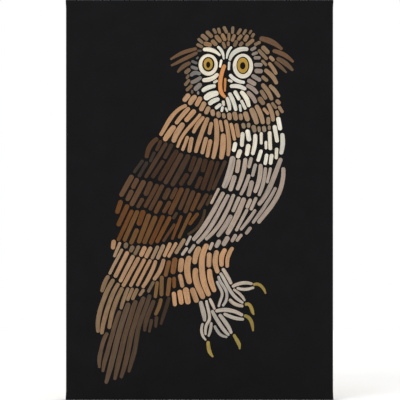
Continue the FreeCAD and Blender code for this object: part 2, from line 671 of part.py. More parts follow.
        (-118.5, 296.5, -122.5, 284.5, 5.5), (-109, 290, -120.5, 265.5, 5.5),
        (-102, 282.5, -120.5, 243, 5.5),
        (-94, 281.5, -111.5, 242.5, 5.5), (-85, 281, -90, 267, 6.5), (-94.5, 254, -101.5, 238.5, 5.5),
        (-76.5, 276, -90, 240, 6), (-67, 273, -81.5, 239, 6), (-55.5, 274, -72, 238, 5.5),
        (-45.5, 272.5, -62.5, 240, 5.5), (-35, 279.5, -38, 275, 4), (-38.5, 262.5, -52.5, 241, 5),
        (-28, 274.5, -40, 244.5, 5), (-14.5, 278.5, -29.5, 246.5, 5), (-4, 278.5, -13, 266.5, 5.5),
        (7.5, 284, 0.5, 264.5, -15, 250.5, 4.5)],
    "rump_band": [
        (-128.5, 238, -129.5, 230, 6), (-119.5, 235.5, -127, 217.5, 5),
        (-110, 234, -110.5, 231.5, 5.5), (-100.5, 229.5, -102.5, 225.5, 6), (-91.5, 230, -96, 221, 6),
        (-82.5, 228.5, -87, 219, 6), (-73.5, 228, -79.5, 216.5, 6), (-63, 230, -70.5, 214.5, 5.5),
        (-54.5, 231.5, -62, 214.5, 5), (-44.5, 234.5, -52, 218, 6), (-35.5, 235, -45.5, 217, 5.5),
        (-23.5, 240.5, -34.5, 222.5, 5)],
    "tail_coverts_upper": [
        (-116.5, 225.5, -134, 191.5, 5), (-108.5, 221, -125.5, 187.5, 6), (-100, 215.5, -118, 180.5, 6.5),
        (-92, 212.5, -113.5, 173.5, 6.5), (-83, 210.5, -102.5, 173.5, 5.5), (-74, 209.5, -92.5, 174, 5.5),
        (-66, 208, -71.5, 193.5, -84, 171.5, 5.5), (-54, 210, -58.5, 196.5, -67, 183, 5.5),
        (-69.5, 177, -76, 164.5, 5)],
    "tail_coverts_lower": [
        (-137.5, 185, -143, 174, -145.5, 166, 6),
        (-130, 179.5, -139.5, 161.5, -147, 141.5, -151.5, 123.5, -152, 105.5, 6.6),
        (-122.5, 173.5, -132.5, 153.5, -138.5, 135.5, -143.5, 117.5, -146, 103, 6.5),
        (-116.5, 167, -124.5, 149.5, -130.5, 131.5, -135, 111, 6.5),
        (-107.5, 167, -113, 153.5, -117, 140, 5.5), (-101, 166.5, -107, 152.5, 5.5),
        (-94, 165.5, -99.5, 154, 6), (-84.5, 165, -88.5, 159.5, 5)],
    "tail_feathers": [
        (-139, 100, -143.5, 90.5, -147.5, 75.5, -150, 62.5, -150, 51.5, 6),
        (-120, 132.5, -125, 118.5, -130.5, 99.5, -136, 79.5, -141.5, 60.5, -144.5, 45.5, 6.5),
        (-107, 143.5, -112, 129.5, -118, 110.5, -122.5, 94.5, -127, 75.5, -132, 55.5, -139.5, 28.5, 7),
        (-96, 147.5, -100, 136.5, -106, 116.5, -111.5, 98.5, -116, 79.5, -121, 58.5, -126.5, 34, 7.5),
        (-84, 153, -90.5, 136.5, -97, 116.5, -102, 99.5, -106, 79.5, -110.5, 58.5, -117, 36.5, 6.5),
        (-75, 156.5, -80.5, 139.5, -88, 119.5, -93, 100.5, -96, 80.5, -100.5, 62.5, -105.5, 45, 6),
        (-69, 148, -74.5, 134.5, -79.5, 120.5, -82, 106.5, 6), (-72, 120, -75, 104.5, 4.5),
        (-64.5, 124, -65.5, 112, 5.5), (-46, 153, -51.5, 134.5, -57.5, 116, 5.5)],
    "undertail": [
        (-46, 207, -50.5, 189.5, 6), (-37, 210.5, -39.5, 194, 7.5), (-56.5, 184, -57, 160, 6),
        (-45, 181.5, -47.5, 160, 6), (-38, 182.5, -38, 172, 5.5), (-63.5, 176, -66, 157, 5.5),
        (-58, 150.5, -60.5, 141.5, -65, 131, 5)],
    "thigh": [
        (-27, 210, -28.5, 196.5, 7.5), (-29, 186.5, -26, 173, 6.5),
        (-16, 213, -18.5, 197.5, -15.5, 179, 8.5), (-1.5, 227.5, -5.5, 217.5, -7, 208.5, 8),
        (10, 231.5, 4.5, 217.5, 3.5, 199.5, 6.5, 177.5, 13, 160.5, 8.5), (14.5, 218.5, 14, 203.5, 7),
        (-6, 195, -5.5, 182, -1, 168.5, 4.5, 156.5, 8.5), (15, 194, 17, 179.5, 21.5, 166.5, 7),
        (25.5, 222, 23.5, 208.5, 26.5, 194.5, 7), (37.5, 225, 33.5, 216, 33, 204.5, 6.5),
        (48.5, 227.5, 43, 216.5, 41.5, 202.5, 5.5), (-38.5, 160, -37, 145, 6),
        (-29.5, 162.5, -27.5, 148, 7.5), (-20.5, 165.5, -17.5, 149, 9), (-10.5, 165.5, -5, 151, 8)],
    "leg_left": [
        (2, 146.5, 4, 139, 6.5, 129, 7.5, 121.5, 6),
        (10.5, 148.5, 12.5, 139, 15, 127, 14.5, 120.5, 11, 114.5, 9, 107, 9, 100.5, 4.5),
        (4.5, 114.5, 3, 107, 4.2, 98.5, 8.5, 92, 3.5), (17.5, 115.5, 16.5, 107, 14, 98, 4.5)],
    "toes_left": [
        (16, 151.5, 19.5, 144, 22, 138.5, 4.5),
        (19.5, 133.5, 23, 126.5, 28.8, 117, 35, 107.8, 42.5, 99.5, 5.4),
        (31, 127.5, 37.3, 119.5, 42.8, 111.5, 46.8, 103, 5.8),
        (23, 111, 27.3, 103.5, 32.3, 98.4, 39.5, 95.7, 4.3),
        (26, 134.5, 38, 136, 51, 134, 62.5, 128.8, 5.8),
        (38, 129.5, 46, 126, 56, 123, 64, 122, 4.5)],
    "leg_right": [
        (35.5, 196.5, 42, 186, 46.5, 177, 5),
        (28.5, 185, 35, 172.5, 40.8, 161, 40.8, 154, 35.8, 143.5, 4.4),
        (26.5, 177.5, 31, 168.5, 33.8, 160, 31.5, 150.5, 29, 142.5, 4.2)],
    "toes_right": [
        (32, 190, 39.8, 176, 47.2, 162.8, 56, 153, 63.5, 147.5, 4.8),
        (50.5, 171.5, 58.5, 175, 69, 176.5, 77, 175.3, 5), (57.5, 168.3, 68.5, 166.8, 79.5, 169, 4.2),
        (52, 166.2, 59, 160.8, 65, 154.5, 67, 151.3, 3.8), (46, 150.5, 53.5, 144.5, 63, 142, 5.5)],
    "claws": [
        (82, 174, 86.5, 174.5, 94, 170, 98.5, 162, 4.6),
        (70, 144.5, 73, 144.5, 77.5, 139, 80.5, 130.5, 4.8),
        (68.5, 127, 74, 124, 78.5, 115.5, 80, 106, 5),
        (52, 97.5, 55.5, 91.5, 59.5, 83.5, 60, 79, 4.5), (13, 87, 13.5, 79.5, 15.5, 72.5, 19, 67, 5)],
}
EYE_RIMS = (
    ((13, 503, 14.5, 16.3), (13.3, 503.7, 9.2, 11)),
    ((65, 501, 15.2, 18.5), (65, 502, 9.6, 13)),
)
IRISES = (
    ((13, 504, 7, 9), (13, 503, 3, 4.6)),
    ((64.7, 502, 8.2, 11.5), (64.7, 501.5, 4, 5.3)),
)
# How far a stroke thins out towards its tip, as a share of its width.
PLAIN_TIP = 0.88
TIPS = {"claws": 0.55, "ear_tuft_left": 0.6, "ear_tuft_right": 0.6, "brows": 0.6, "beak": 0.75,
        "tail_feathers": 0.7, "toes_left": 0.8, "toes_right": 0.8, "leg_left": 0.75}

# How much wider than listed a group's strokes may spread, as a share, and how much longer each
# of their ends is.
PLAIN_SPREAD = (0.2, 0)
SPREADS = {
    "beak": (0.1, 0), "brows": (0.34, 0.4), "cheek_right": (0.26, 0.1), "face_left": (0.28, 0.2),
    "nostril_strokes": (0.3, 0.2), "crown_inner": (0.4, 0), "crown_middle": (0.22, 0),
    "crown_outer": (0.02, 0), "ear_tuft_left": (0.38, 0.9), "ear_tuft_right": (0.28, 0.5),
    "ruff": (0.28, 0.3), "cape": (0.3, 0.7), "breast_grey_upper": (0.34, 0.8),
    "breast_grey_lower": (0.32, 0.7), "breast_grey_hem": (0.26, 0.3),
    "wing_row_upper": (0.38, 1.5), "wing_row_middle": (0.35, 1.1), "wing_row_lower": (0.38, 1.0),
    "rump_band": (0.28, 0), "tail_coverts_upper": (0.3, 0), "tail_coverts_lower": (0.3, 0.4),
    "undertail": (0.4, 0.4), "tail_feathers": (0.26, 0), "thigh": (0.12, 0.2),
    "leg_left": (0.12, 0), "leg_right": (0.08, 0), "toes_left": (0.2, 0), "toes_right": (0.12, 0),
    "claws": (0.12, 0),
}

laid = []
for name, strokes in STROKES.items():
    share, longer = SPREADS.get(name, PLAIN_SPREAD)
    for stroke in strokes:
        laid.append((name, middle_line(stroke, longer), stroke[-1] * picture_scale, share))
widths = spread_widths([stroke[1:] for stroke in laid])
for name in STROKES:
    tip_share = TIPS.get(name, PLAIN_TIP)
    painted(name, [stroke_face(line, width, tip_share)
                   for (group_name, line, _, _), width in zip(laid, widths) if group_name == name])
painted("eye_rims", [ring_face(*pair) for pair in EYE_RIMS])
painted("irises", [ring_face(*pair) for pair in IRISES])


# ---------------------------------------------------------------- checks and files

document.recompute()
for item in document.Objects:
    if "Invalid" in item.State or "Error" in item.State:
        raise RuntimeError("%s did not compute: %s" % (item.Name, item.State))
os.makedirs("parts", exist_ok=True)
for item in finished:
    shape = item.Shape
    if shape.isNull() or not shape.isValid() or not shape.Solids:
        raise RuntimeError("%s has no valid solid" % item.Label)
    shape.exportStep("parts/%s.step" % item.Label)
print("%d sub-parts, %d solids" % (len(finished), sum(len(item.Shape.Solids) for item in finished)))
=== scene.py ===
"""An owl painted in raised acrylic strokes on a black stretched canvas.

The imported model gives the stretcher, its keys, staples and hangers, and the outline of every stroke.
Here the cloth is folded round the stretcher, each stroke gets the ridges that bristles leave,
and every surface gets its finish. Metres, +Z up; the painted side looks along -Y.
"""
import bmesh
import bpy
import json
import math
import numpy as np
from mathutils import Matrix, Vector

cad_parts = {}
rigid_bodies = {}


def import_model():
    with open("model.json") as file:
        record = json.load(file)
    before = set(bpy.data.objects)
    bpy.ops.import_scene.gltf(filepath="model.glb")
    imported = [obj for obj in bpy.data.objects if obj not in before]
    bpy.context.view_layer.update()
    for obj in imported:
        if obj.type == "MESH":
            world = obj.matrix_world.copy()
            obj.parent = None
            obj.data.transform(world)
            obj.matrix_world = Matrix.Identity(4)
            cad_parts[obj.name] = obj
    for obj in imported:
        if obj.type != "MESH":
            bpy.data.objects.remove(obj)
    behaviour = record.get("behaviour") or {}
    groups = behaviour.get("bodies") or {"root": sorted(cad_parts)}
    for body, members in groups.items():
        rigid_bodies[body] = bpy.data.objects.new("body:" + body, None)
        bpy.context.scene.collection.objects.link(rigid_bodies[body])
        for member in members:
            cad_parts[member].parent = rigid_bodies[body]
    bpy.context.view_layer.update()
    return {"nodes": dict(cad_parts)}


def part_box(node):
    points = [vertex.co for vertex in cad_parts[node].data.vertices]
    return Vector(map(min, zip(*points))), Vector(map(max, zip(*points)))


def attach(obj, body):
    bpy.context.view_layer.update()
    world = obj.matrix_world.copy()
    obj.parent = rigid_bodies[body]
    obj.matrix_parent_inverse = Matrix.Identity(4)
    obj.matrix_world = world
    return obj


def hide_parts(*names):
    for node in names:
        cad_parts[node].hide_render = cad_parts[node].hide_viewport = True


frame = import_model()

MM = 0.001
FRONT_LOW, FRONT_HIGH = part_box("canvas_front")
WRAP_LOW, WRAP_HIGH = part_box("canvas_wrap_left")
HALF_WIDTH = (FRONT_HIGH.x - FRONT_LOW.x) / 2
HALF_HEIGHT = (FRONT_HIGH.z - FRONT_LOW.z) / 2
MIDDLE_Z = (FRONT_LOW.z + FRONT_HIGH.z) / 2
CLOTH = FRONT_HIGH.y - FRONT_LOW.y
FRONT_Y, BACK_Y = FRONT_LOW.y, WRAP_HIGH.y
DEPTH = BACK_Y - FRONT_Y
MARGIN = WRAP_HIGH.x - WRAP_LOW.x


# ---------------------------------------------------------------- mesh helpers

def new_piece(name, points, faces, smooth_below=None):
    """An object at the origin with these points (n, 3) and faces, shaded smooth below an angle."""
    mesh = bpy.data.meshes.new(name)
    mesh.from_pydata(points, [], faces)
    mesh.update()
    if smooth_below is not None:
        mesh.polygons.foreach_set("use_smooth", np.ones(len(mesh.polygons), bool))
        mesh.set_sharp_from_angle(angle=math.radians(smooth_below))
    piece = bpy.data.objects.new(name, mesh)
    bpy.context.scene.collection.objects.link(piece)
    return piece


def grid_faces(rows, columns, rows_close=False, columns_close=False):
    """The quads of a grid of points stored row after row; a closed direction joins last to first."""
    row = np.arange(rows if rows_close else rows - 1)
    column = np.arange(columns if columns_close else columns - 1)
    row, column = [each.ravel() for each in np.meshgrid(row, column, indexing="ij")]
    below, beside = (row + 1) % rows, (column + 1) % columns
    return np.stack([row * columns + column, row * columns + beside,
                     below * columns + beside, below * columns + column], axis=1)


def along_line(points, count, closed=False):
    """The points (n, 2) of a line, resampled to count places that are evenly spaced along it."""
    if closed:
        points = np.vstack([points, points[:1]])
    steps = np.hypot(*np.diff(points, axis=0).T)
    run = np.concatenate([[0], np.cumsum(steps)])
    places = np.linspace(0, run[-1], count, endpoint=not closed)
    return np.stack([np.interp(places, run, points[:, axis]) for axis in (0, 1)], axis=1)


def set_attribute(mesh, name, kind, values):
    """A point attribute from an array of rows."""
    layer = mesh.attributes.new(name, kind, "POINT")
    layer.data.foreach_set("color" if kind == "FLOAT_COLOR" else "vector", values.ravel())


# ---------------------------------------------------------------- material helpers

def linear(hex_colour):
    """The linear colour of an sRGB hex value, with alpha 1."""
    parts = [int(hex_colour[at:at + 2], 16) / 255 for at in (0, 2, 4)]
    curve = [part / 12.92 if part <= 0.04045 else ((part + 0.055) / 1.055) ** 2.4 for part in parts]
    return (*curve, 1.0)


def add(tree, kind, links=None, **settings):
    """Adds a node. A setting is one of its properties or an input's value; links feed its inputs."""
    node = tree.nodes.new("ShaderNode" + kind)
    for name, value in settings.items():
        if hasattr(node, name):
            setattr(node, name, value)
        else:
            node.inputs[name.replace("_", " ")].default_value = value
    for name, socket in (links or {}).items():
        tree.links.new(socket, node.inputs[name])
    return node


def new_material(name, **surface):
    """A material whose Principled shader has these values on its own sockets."""
    material = bpy.data.materials.new(name)
    material.use_nodes = True
    tree = material.node_tree
    shader = tree.nodes["Principled BSDF"]
    for socket, value in surface.items():
        shader.inputs[socket.replace("_", " ")].default_value = value
    return material, tree, shader


def ramp(tree, factor, *stops):
    """A colour ramp through (place, sRGB hex) stops."""
    node = add(tree, "ValToRGB", {"Fac": factor})
    elements = node.color_ramp.elements
    while len(elements) < len(stops):
        elements.new(0.5)
    for element, (place, colour) in zip(elements, stops):
        element.position = place
        element.color = linear(colour)
    return node.outputs["Color"]


def stretched(tree, vector, per_unit):
    """A vector scaled on each axis, so that a pattern has its own size in each direction."""
    return add(tree, "Mapping", {"Vector": vector}, Scale=per_unit).outputs["Vector"]


def connect(tree, shader, colour=None, roughness=None, height=None, strength=1.0, depth=0.1 * MM):
    """Feeds the shader's colour, roughness and bump."""
    if colour is not None:
        tree.links.new(colour, shader.inputs["Base Color"])
    if roughness is not None:
        tree.links.new(roughness, shader.inputs["Roughness"])
    if height is not None:
        bump = add(tree, "Bump", {"Height": height}, Strength=strength, Distance=depth)
        tree.links.new(bump.outputs["Normal"], shader.inputs["Normal"])


# ---------------------------------------------------------------- materials

def acrylic_paint():
    """Heavy-body acrylic brushed on and dried: satin, even in colour, with faint streaks that run
    the length of the stroke where the bristles carried more or less pigment."""
    material, tree, shader = new_material("brushed_acrylic", IOR=1.48, Specular_IOR_Level=0.14)
    paint = add(tree, "Attribute", attribute_name="paint").outputs["Color"]
    brush = add(tree, "Attribute", attribute_name="brush").outputs["Vector"]
    # Bristle marks are about 0.4 mm wide and 30 mm long, drawn 0.8 mm wide so that they show.
    streaks = add(tree, "TexNoise", {"Vector": stretched(tree, brush, (1 / 30, 1 / 0.8, 1))},
                  Scale=1.0, Detail=3.0, Roughness=0.6).outputs["Fac"]
    blotches = add(tree, "TexNoise", {"Vector": stretched(tree, brush, (1 / 9, 1 / 4, 1))},
                   Scale=1.0, Detail=2.0, Roughness=0.5).outputs["Fac"]
    dark_or_light = ramp(tree, streaks, (0.3, "CDD3D6"), (0.5, "F6F4F2"), (0.68, "FFFFFF"))
    uneven = ramp(tree, blotches, (0.3, "ECEBE9"), (0.7, "FFFFFF"))
    streaked = add(tree, "Mix", data_type="RGBA", blend_type="MULTIPLY")
    mottled = add(tree, "Mix", data_type="RGBA", blend_type="MULTIPLY")
    for mix, first, second in ((streaked, paint, dark_or_light),
                               (mottled, streaked.outputs[2], uneven)):
        mix.inputs[0].default_value = 1.0
        tree.links.new(first, mix.inputs[6])
        tree.links.new(second, mix.inputs[7])
    satin = add(tree, "MapRange", {"Value": streaks}, To_Min=0.48, To_Max=0.68).outputs["Result"]
    connect(tree, shader, mottled.outputs[2], satin, streaks, strength=0.5, depth=0.08 * MM)
    return material


def woven(tree, vector, thread):
    """Plain weave: the height of threads that pass over and under each other every thread width."""
    place = stretched(tree, vector, (math.pi / thread,) * 3)
    split = add(tree, "SeparateXYZ", {"Vector": place})
    waves = [add(tree, "Math", {"Value": split.outputs[axis]}, operation="SINE").outputs[0]
             for axis in ("X", "Y")]
    return add(tree, "Math", {0: waves[0], 1: waves[1]}, operation="MULTIPLY").outputs[0]


def primed_cotton():
    """Cotton duck under matt black gesso: a deep flat black that fills the weave without hiding it,
    very slightly cloudy where the coat is thicker, with painted shade in the hollows of the weave
    and a painted highlight on the tops of its threads."""
    material, tree, shader = new_material("black_gesso_on_cotton", Specular_IOR_Level=0.12)
    cloth = add(tree, "Attribute", attribute_name="cloth").outputs["Vector"]
    # Threads of 10 oz duck are about 0.5 mm apart, drawn 0.8 mm apart so that they show close up.
    weave = woven(tree, cloth, 0.8)
    clouds = add(tree, "TexNoise", {"Vector": stretched(tree, cloth, (1 / 35, 1 / 35, 1))},
                 Scale=1.0, Detail=4.0, Roughness=0.6).outputs["Fac"]
    slubs = add(tree, "TexNoise", {"Vector": stretched(tree, cloth, (1 / 6, 1 / 1.5, 1))},
                Scale=1.0, Detail=2.0).outputs["Fac"]
    # Painted shade: the weave's height also sets the colour, darker in the hollows between threads and
    # lighter on their tops.
    weave_shade = add(tree, "MapRange", {"Value": weave}, From_Min=-1.0, To_Min=-0.1, To_Max=0.1)
    cloudy = add(tree, "Math", {0: clouds, 1: weave_shade.outputs["Result"]}, operation="ADD").outputs[0]
    colour = ramp(tree, cloudy, (0.3, "0A0A0C"), (0.7, "111113"))
    height = add(tree, "Math", {0: weave, 1: slubs}, operation="ADD").outputs[0]
    rough = add(tree, "MapRange", {"Value": clouds}, To_Min=0.72, To_Max=0.9).outputs["Result"]
    connect(tree, shader, colour, rough, height, strength=0.6, depth=0.06 * MM)
    return material


def raw_cotton():
    """Unprimed cotton duck, as the inside of the cloth shows it: oatmeal, matt, with dark flecks,
    and painted shade that darkens the hollows of the weave and lightens the tops of its threads.
    """
    material, tree, shader = new_material("raw_cotton_duck", Roughness=0.92, Specular_IOR_Level=0.2)
    cloth = add(tree, "Attribute", attribute_name="cloth").outputs["Vector"]
    # The same weave as on the primed side, drawn 1.2 mm apart so that it shows from a step away.
    weave = woven(tree, cloth, 1.2)
    flecks = add(tree, "TexNoise", {"Vector": stretched(tree, cloth, (1 / 8, 1 / 2, 1))},
                 Scale=1.0, Detail=5.0, Roughness=0.75).outputs["Fac"]
    # Painted shade: the weave's height also sets the colour, darker in the hollows between threads and
    # lighter on their tops.
    weave_shade = add(tree, "MapRange", {"Value": weave}, From_Min=-1.0, To_Min=-0.12, To_Max=0.12)
    shade = add(tree, "Math", {0: flecks, 1: weave_shade.outputs["Result"]}, operation="ADD").outputs[0]
    colour = ramp(tree, shade, (0.2, "8E7B5E"), (0.36, "C3B394"), (0.65, "D9CCB2"), (0.8, "E4DAC4"))
    connect(tree, shader, colour, None, weave, strength=0.7, depth=0.15 * MM)
    return material


def timber(name, grain_axis, pale, middle, dark, ring_width, roughness):
    """Planed softwood or beech: growth rings cut lengthwise into long bands, with fine pores."""
    material, tree, shader = new_material(name, IOR=1.5, Specular_IOR_Level=0.35)
    place = add(tree, "TexCoord").outputs["Object"]
    long_way, cross_way = 1 / 0.22, 1 / (ring_width * MM)
    bands_at = [cross_way] * 3
    pores_at = [1 / (0.5 * MM)] * 3
    bands_at[grain_axis] = long_way
    pores_at[grain_axis] = 1 / (14 * MM)
    wander = add(tree, "TexNoise", {"Vector": stretched(tree, place, (6.0, 6.0, 6.0))},
                 Scale=1.0, Detail=2.0).outputs["Fac"]
    warp = add(tree, "VectorMath", {0: stretched(tree, place, bands_at)}, operation="ADD")
    tree.links.new(wander, warp.inputs[1])
    bands = add(tree, "TexNoise", {"Vector": warp.outputs[0]},
                Scale=0.35, Detail=3.0, Roughness=0.45, Distortion=0.4).outputs["Fac"]
    pores = add(tree, "TexNoise", {"Vector": stretched(tree, place, pores_at)},
                Scale=0.6, Detail=3.0, Roughness=0.7).outputs["Fac"]
    colour = ramp(tree, bands, (0.3, pale), (0.5, middle), (0.6, dark), (0.66, middle), (0.8, pale))
    specks = ramp(tree, pores, (0.3, "B8A892"), (0.48, "FFFFFF"))
    mix = add(tree, "Mix", data_type="RGBA", blend_type="MULTIPLY")
    mix.inputs[0].default_value = 0.55
    tree.links.new(colour, mix.inputs[6])
    tree.links.new(specks, mix.inputs[7])
    rough = add(tree, "MapRange", {"Value": bands}, To_Min=roughness, To_Max=roughness + 0.2)
    connect(tree, shader, mix.outputs[2], rough.outputs["Result"], pores, strength=0.5,
            depth=0.12 * MM)
    return material


def plated_steel(name, bright, dull, roughness, spangle):
    """Steel with a thin zinc coat: bluish grey, softly shining, cloudy where it has dulled."""
    material, tree, shader = new_material(name, Metallic=1.0)
    place = add(tree, "TexCoord").outputs["Object"]
    clouds = add(tree, "TexNoise", {"Vector": stretched(tree, place, (1 / (spangle * MM),) * 3)},
                 Scale=1.0, Detail=4.0, Roughness=0.65).outputs["Fac"]
    scuffs = add(tree, "TexNoise", {"Vector": stretched(tree, place, (4000.0, 4000.0, 700.0))},
                 Scale=1.0, Detail=2.0).outputs["Fac"]
    colour = ramp(tree, clouds, (0.3, dull), (0.65, bright))
    rough = add(tree, "MapRange", {"Value": clouds}, To_Min=roughness + 0.12, To_Max=roughness)
    connect(tree, shader, colour, rough.outputs["Result"], scuffs, strength=0.25, depth=0.02 * MM)
    return material


ACRYLIC = acrylic_paint()
GESSO = primed_cotton()
COTTON = raw_cotton()
# Of each wood: its pale, middle and dark colour, how wide its growth rings are in millimetres, and
# how rough it is where it is smoothest.
PINE = ("E3CBA0", "D6B585", "BF9560", 5.0, 0.5)
BEECH = ("D9B58C", "CDA67B", "B98F66", 1.6, 0.45)
# What the bars, keys, hangers and staples are made of, by how a node's name starts.
FINISHES = {
    "stretcher_bar_bottom": timber("planed_pine_lying", 0, *PINE),
    "stretcher_bar_left": timber("planed_pine_standing", 2, *PINE),
    "corner_key": timber("sawn_beech", 2, *BEECH),
    "hanger": plated_steel("zinc_plated_steel", "C9CBCC", "A3A6A9", 0.28, 6.0),
    "staples": plated_steel("galvanised_wire", "BFC3C6", "8F9396", 0.36, 2.0),
}
FINISHES["stretcher_bar_top"] = FINISHES["stretcher_bar_bottom"]
FINISHES["stretcher_bar_right"] = FINISHES["stretcher_bar_left"]

for node in frame["nodes"]:
    for start, material in FINISHES.items():
        if node.startswith(start):
            mesh = bpy.data.objects[node].data
            mesh.materials.clear()
            mesh.materials.append(material)


# ---------------------------------------------------------------- the cloth

FOLD_RADIUS = 1.0 * MM
CORNER_RADIUS = 0.8 * MM
TURN = FOLD_RADIUS * math.pi / 2
FLAT_SIDE = DEPTH - 2 * FOLD_RADIUS
FLAT_BACK = MARGIN - FOLD_RADIUS
# How many rings of points lie on the front, round a fold, and along the side or the back.
FRONT_RINGS, FOLD_STEPS, FLAT_STEPS = 24, 5, 7
# The rings start this close to the middle of the front, as a share, and get closer to each other
# towards the fold.
FIRST_RING, CROWDING = 0.998, 0.8
# How many points lie along each side of a ring and round each of its corners.
SIDE_POINTS, CORNER_POINTS = 48, 5
# How far in and out the shears left the cut edge, and the sines that this is the sum of: the
# share of each, its pace from point to point, and where it starts.
CUT_WANDER = 0.4 * MM
CUT_WAVES = ((1.0, 0.37, 0), (0.6, 1.13, 2))
# How far the flap of a corner starts behind the front and ends before the cut edge.
FLAP_STARTS, FLAP_ENDS_BEFORE = 1.2 * MM, 3 * MM
# How far its free edge stops short of the panel's depth, how far in from the panel's corner its
# other edge lies, and how wide it is at least.
FLAP_SHORT, FLAP_IN, FLAP_NARROWEST = 0.5 * MM, 0.3 * MM, 0.2 * MM
FLAP_ROWS, FLAP_COLUMNS = 30, 7


def folded(run, lift=0.0):
    """Where the outside of the cloth is after it has run this far past the fold at the front.

    It turns a quarter circle, goes straight back along the panel's side, turns a second quarter
    circle and then runs inwards on the back. A lift moves it outwards, as for cloth that lies on
    other cloth. Returns how far inside the panel's edge it is, and its y.
    """
    radius = FOLD_RADIUS + lift
    turn = radius * math.pi / 2
    first = np.clip(run / turn, 0, 1) * math.pi / 2
    second = np.clip((run - turn - FLAT_SIDE) / turn, 0, 1) * math.pi / 2
    straight = np.clip(run - turn, 0, FLAT_SIDE)
    inward = np.maximum(run - 2 * turn - FLAT_SIDE, 0)
    inset = FOLD_RADIUS - radius * np.sin(first) + radius * (1 - np.cos(second)) + inward
    y = FRONT_Y + FOLD_RADIUS - radius * np.cos(first) + straight + radius * np.sin(second)
    return inset, y


def rounded_rectangle(half_width, half_height, radius):
    """Points round a rectangle with round corners, and which of its sides each one is on.

    The same number of points is on each side whatever the size, so that outlines of different
    sizes match point for point. Sides are numbered 0 right, 1 top, 2 left, 3 bottom.
    """
    shape, sides = [], []
    spread = np.linspace(-1, 1, SIDE_POINTS, endpoint=False)
    angles = np.linspace(0, math.pi / 2, CORNER_POINTS, endpoint=False)
    for side in range(4):
        upright = side % 2 == 0
        reach, half = (half_width, half_height) if upright else (half_height, half_width)
        straight = np.stack([np.full(SIDE_POINTS, reach), (half - radius) * spread], axis=1)
        bend = np.stack([reach - radius + radius * np.cos(angles),
                         half - radius + radius * np.sin(angles)], axis=1)
        part = np.vstack([straight, bend])
        if not upright:
            part = np.stack([-part[:, 1], part[:, 0]], axis=1)
        if side >= 2:
            part = -part
        shape.append(part)
        sides.append(np.full(len(part), side))
    return np.vstack(shape), np.concatenate(sides)


def canvas_cloth():
    """The cloth as outlines of the panel, one inside the other: over the front from the middle,
    round the edge and onto the back, where its cut edge wanders as the sum of two sines.

    Each point also keeps where it lies on the flat cloth, in millimetres, for the weave.
    """
    front = HALF_WIDTH - FOLD_RADIUS
    crowded = np.linspace(0, 1, FRONT_RINGS, endpoint=False) ** CROWDING
    rings = [(FOLD_RADIUS + inside, FRONT_Y, -inside)
             for inside in FIRST_RING * front * (1 - crowded)]
    stretches = ((TURN, FOLD_STEPS), (FLAT_SIDE, FLAT_STEPS), (TURN, FOLD_STEPS),
                 (FLAT_BACK, FLAT_STEPS))
    runs = [0.0]
    for length, steps in stretches:
        runs += (runs[-1] + np.linspace(0, length, steps + 1)[1:]).tolist()
    insets, depths = folded(np.array(runs))
    rings += list(zip(insets, depths, runs))
    rows, cloth_rows = [], []
    for inset, y, run in rings:
        half_x, half_z = HALF_WIDTH - inset, HALF_HEIGHT - inset
        outline, sides = rounded_rectangle(half_x, half_z, min(CORNER_RADIUS, half_x / 2))
        if run == runs[-1]:
            around = np.arange(len(outline))
            wander = CUT_WANDER * sum(share * np.sin(pace * around + start)
                                      for share, pace, start in CUT_WAVES)
            outline = outline * (1 + wander / np.hypot(*outline.T))[:, None]
        rows.append(np.column_stack([outline[:, 0], np.full(len(outline), y),
                                     MIDDLE_Z + outline[:, 1]]))
        flat = outline.copy()
        upright = sides % 2 == 0
        flat[upright, 0] = np.sign(outline[upright, 0]) * (front + run)
        flat[~upright, 1] = np.sign(outline[~upright, 1]) * (HALF_HEIGHT - FOLD_RADIUS + run)
        cloth_rows.append(np.column_stack([flat, np.zeros(len(flat))]) / MM)
    count = len(rows[0])
    faces = grid_faces(len(rows), count, columns_close=True)[:, ::-1].tolist()
    middle_face = list(range(count))
    faces.append(middle_face)
    points, cloth = np.vstack(rows), np.vstack(cloth_rows)
    for left_or_right in (-1, 1):
        for low_or_high in (-1, 1):
            flap, flap_cloth, flap_faces = corner_flap(left_or_right, low_or_high)
            faces += (flap_faces + len(points)).tolist()
            points, cloth = np.vstack([points, flap]), np.vstack([cloth, flap_cloth])
    piece = new_piece("canvas_cloth", points, faces, smooth_below=50)
    set_attribute(piece.data, "cloth", "FLOAT_VECTOR", cloth)
    piece.data.materials.append(GESSO)
    piece.data.materials.append(COTTON)
    wall = piece.modifiers.new("thickness", "SOLIDIFY")
    wall.thickness = CLOTH
    wall.offset = -1
    wall.material_offset = 1
    return piece


def corner_flap(left_or_right, low_or_high):
    """The spare cloth of one corner, laid flat over the panel's side and on round onto the back.

    Down the side its free edge is a diagonal from the front corner; on the back it narrows again
    along the mitre. Each row of points runs across the flap, from its free edge to the panel's
    corner.
    """
    runs = np.linspace(FLAP_STARTS, DEPTH + MARGIN - FLAP_ENDS_BEFORE, FLAP_ROWS)
    inset, y = folded(runs, lift=CLOTH)
    free = np.minimum(runs, DEPTH - FLAP_SHORT)
    kept = np.minimum(np.maximum(inset, 0) + FLAP_IN, free - FLAP_NARROWEST)
    share = np.linspace(0, 1, FLAP_COLUMNS)
    from_corner = free[:, None] + (kept - free)[:, None] * share
    x = left_or_right * (HALF_WIDTH - np.broadcast_to(inset[:, None], from_corner.shape))
    z = MIDDLE_Z + low_or_high * (HALF_HEIGHT - from_corner)
    depth = np.broadcast_to(y[:, None], from_corner.shape)
    points = np.stack([x, depth, z], axis=2).reshape(-1, 3)
    cloth = np.stack([np.broadcast_to(runs[:, None], z.shape), z, np.zeros_like(z)], axis=2)
    faces = grid_faces(*from_corner.shape)
    if left_or_right * low_or_high > 0:
        faces = faces[:, ::-1]
    return points, cloth.reshape(-1, 3) / MM, faces


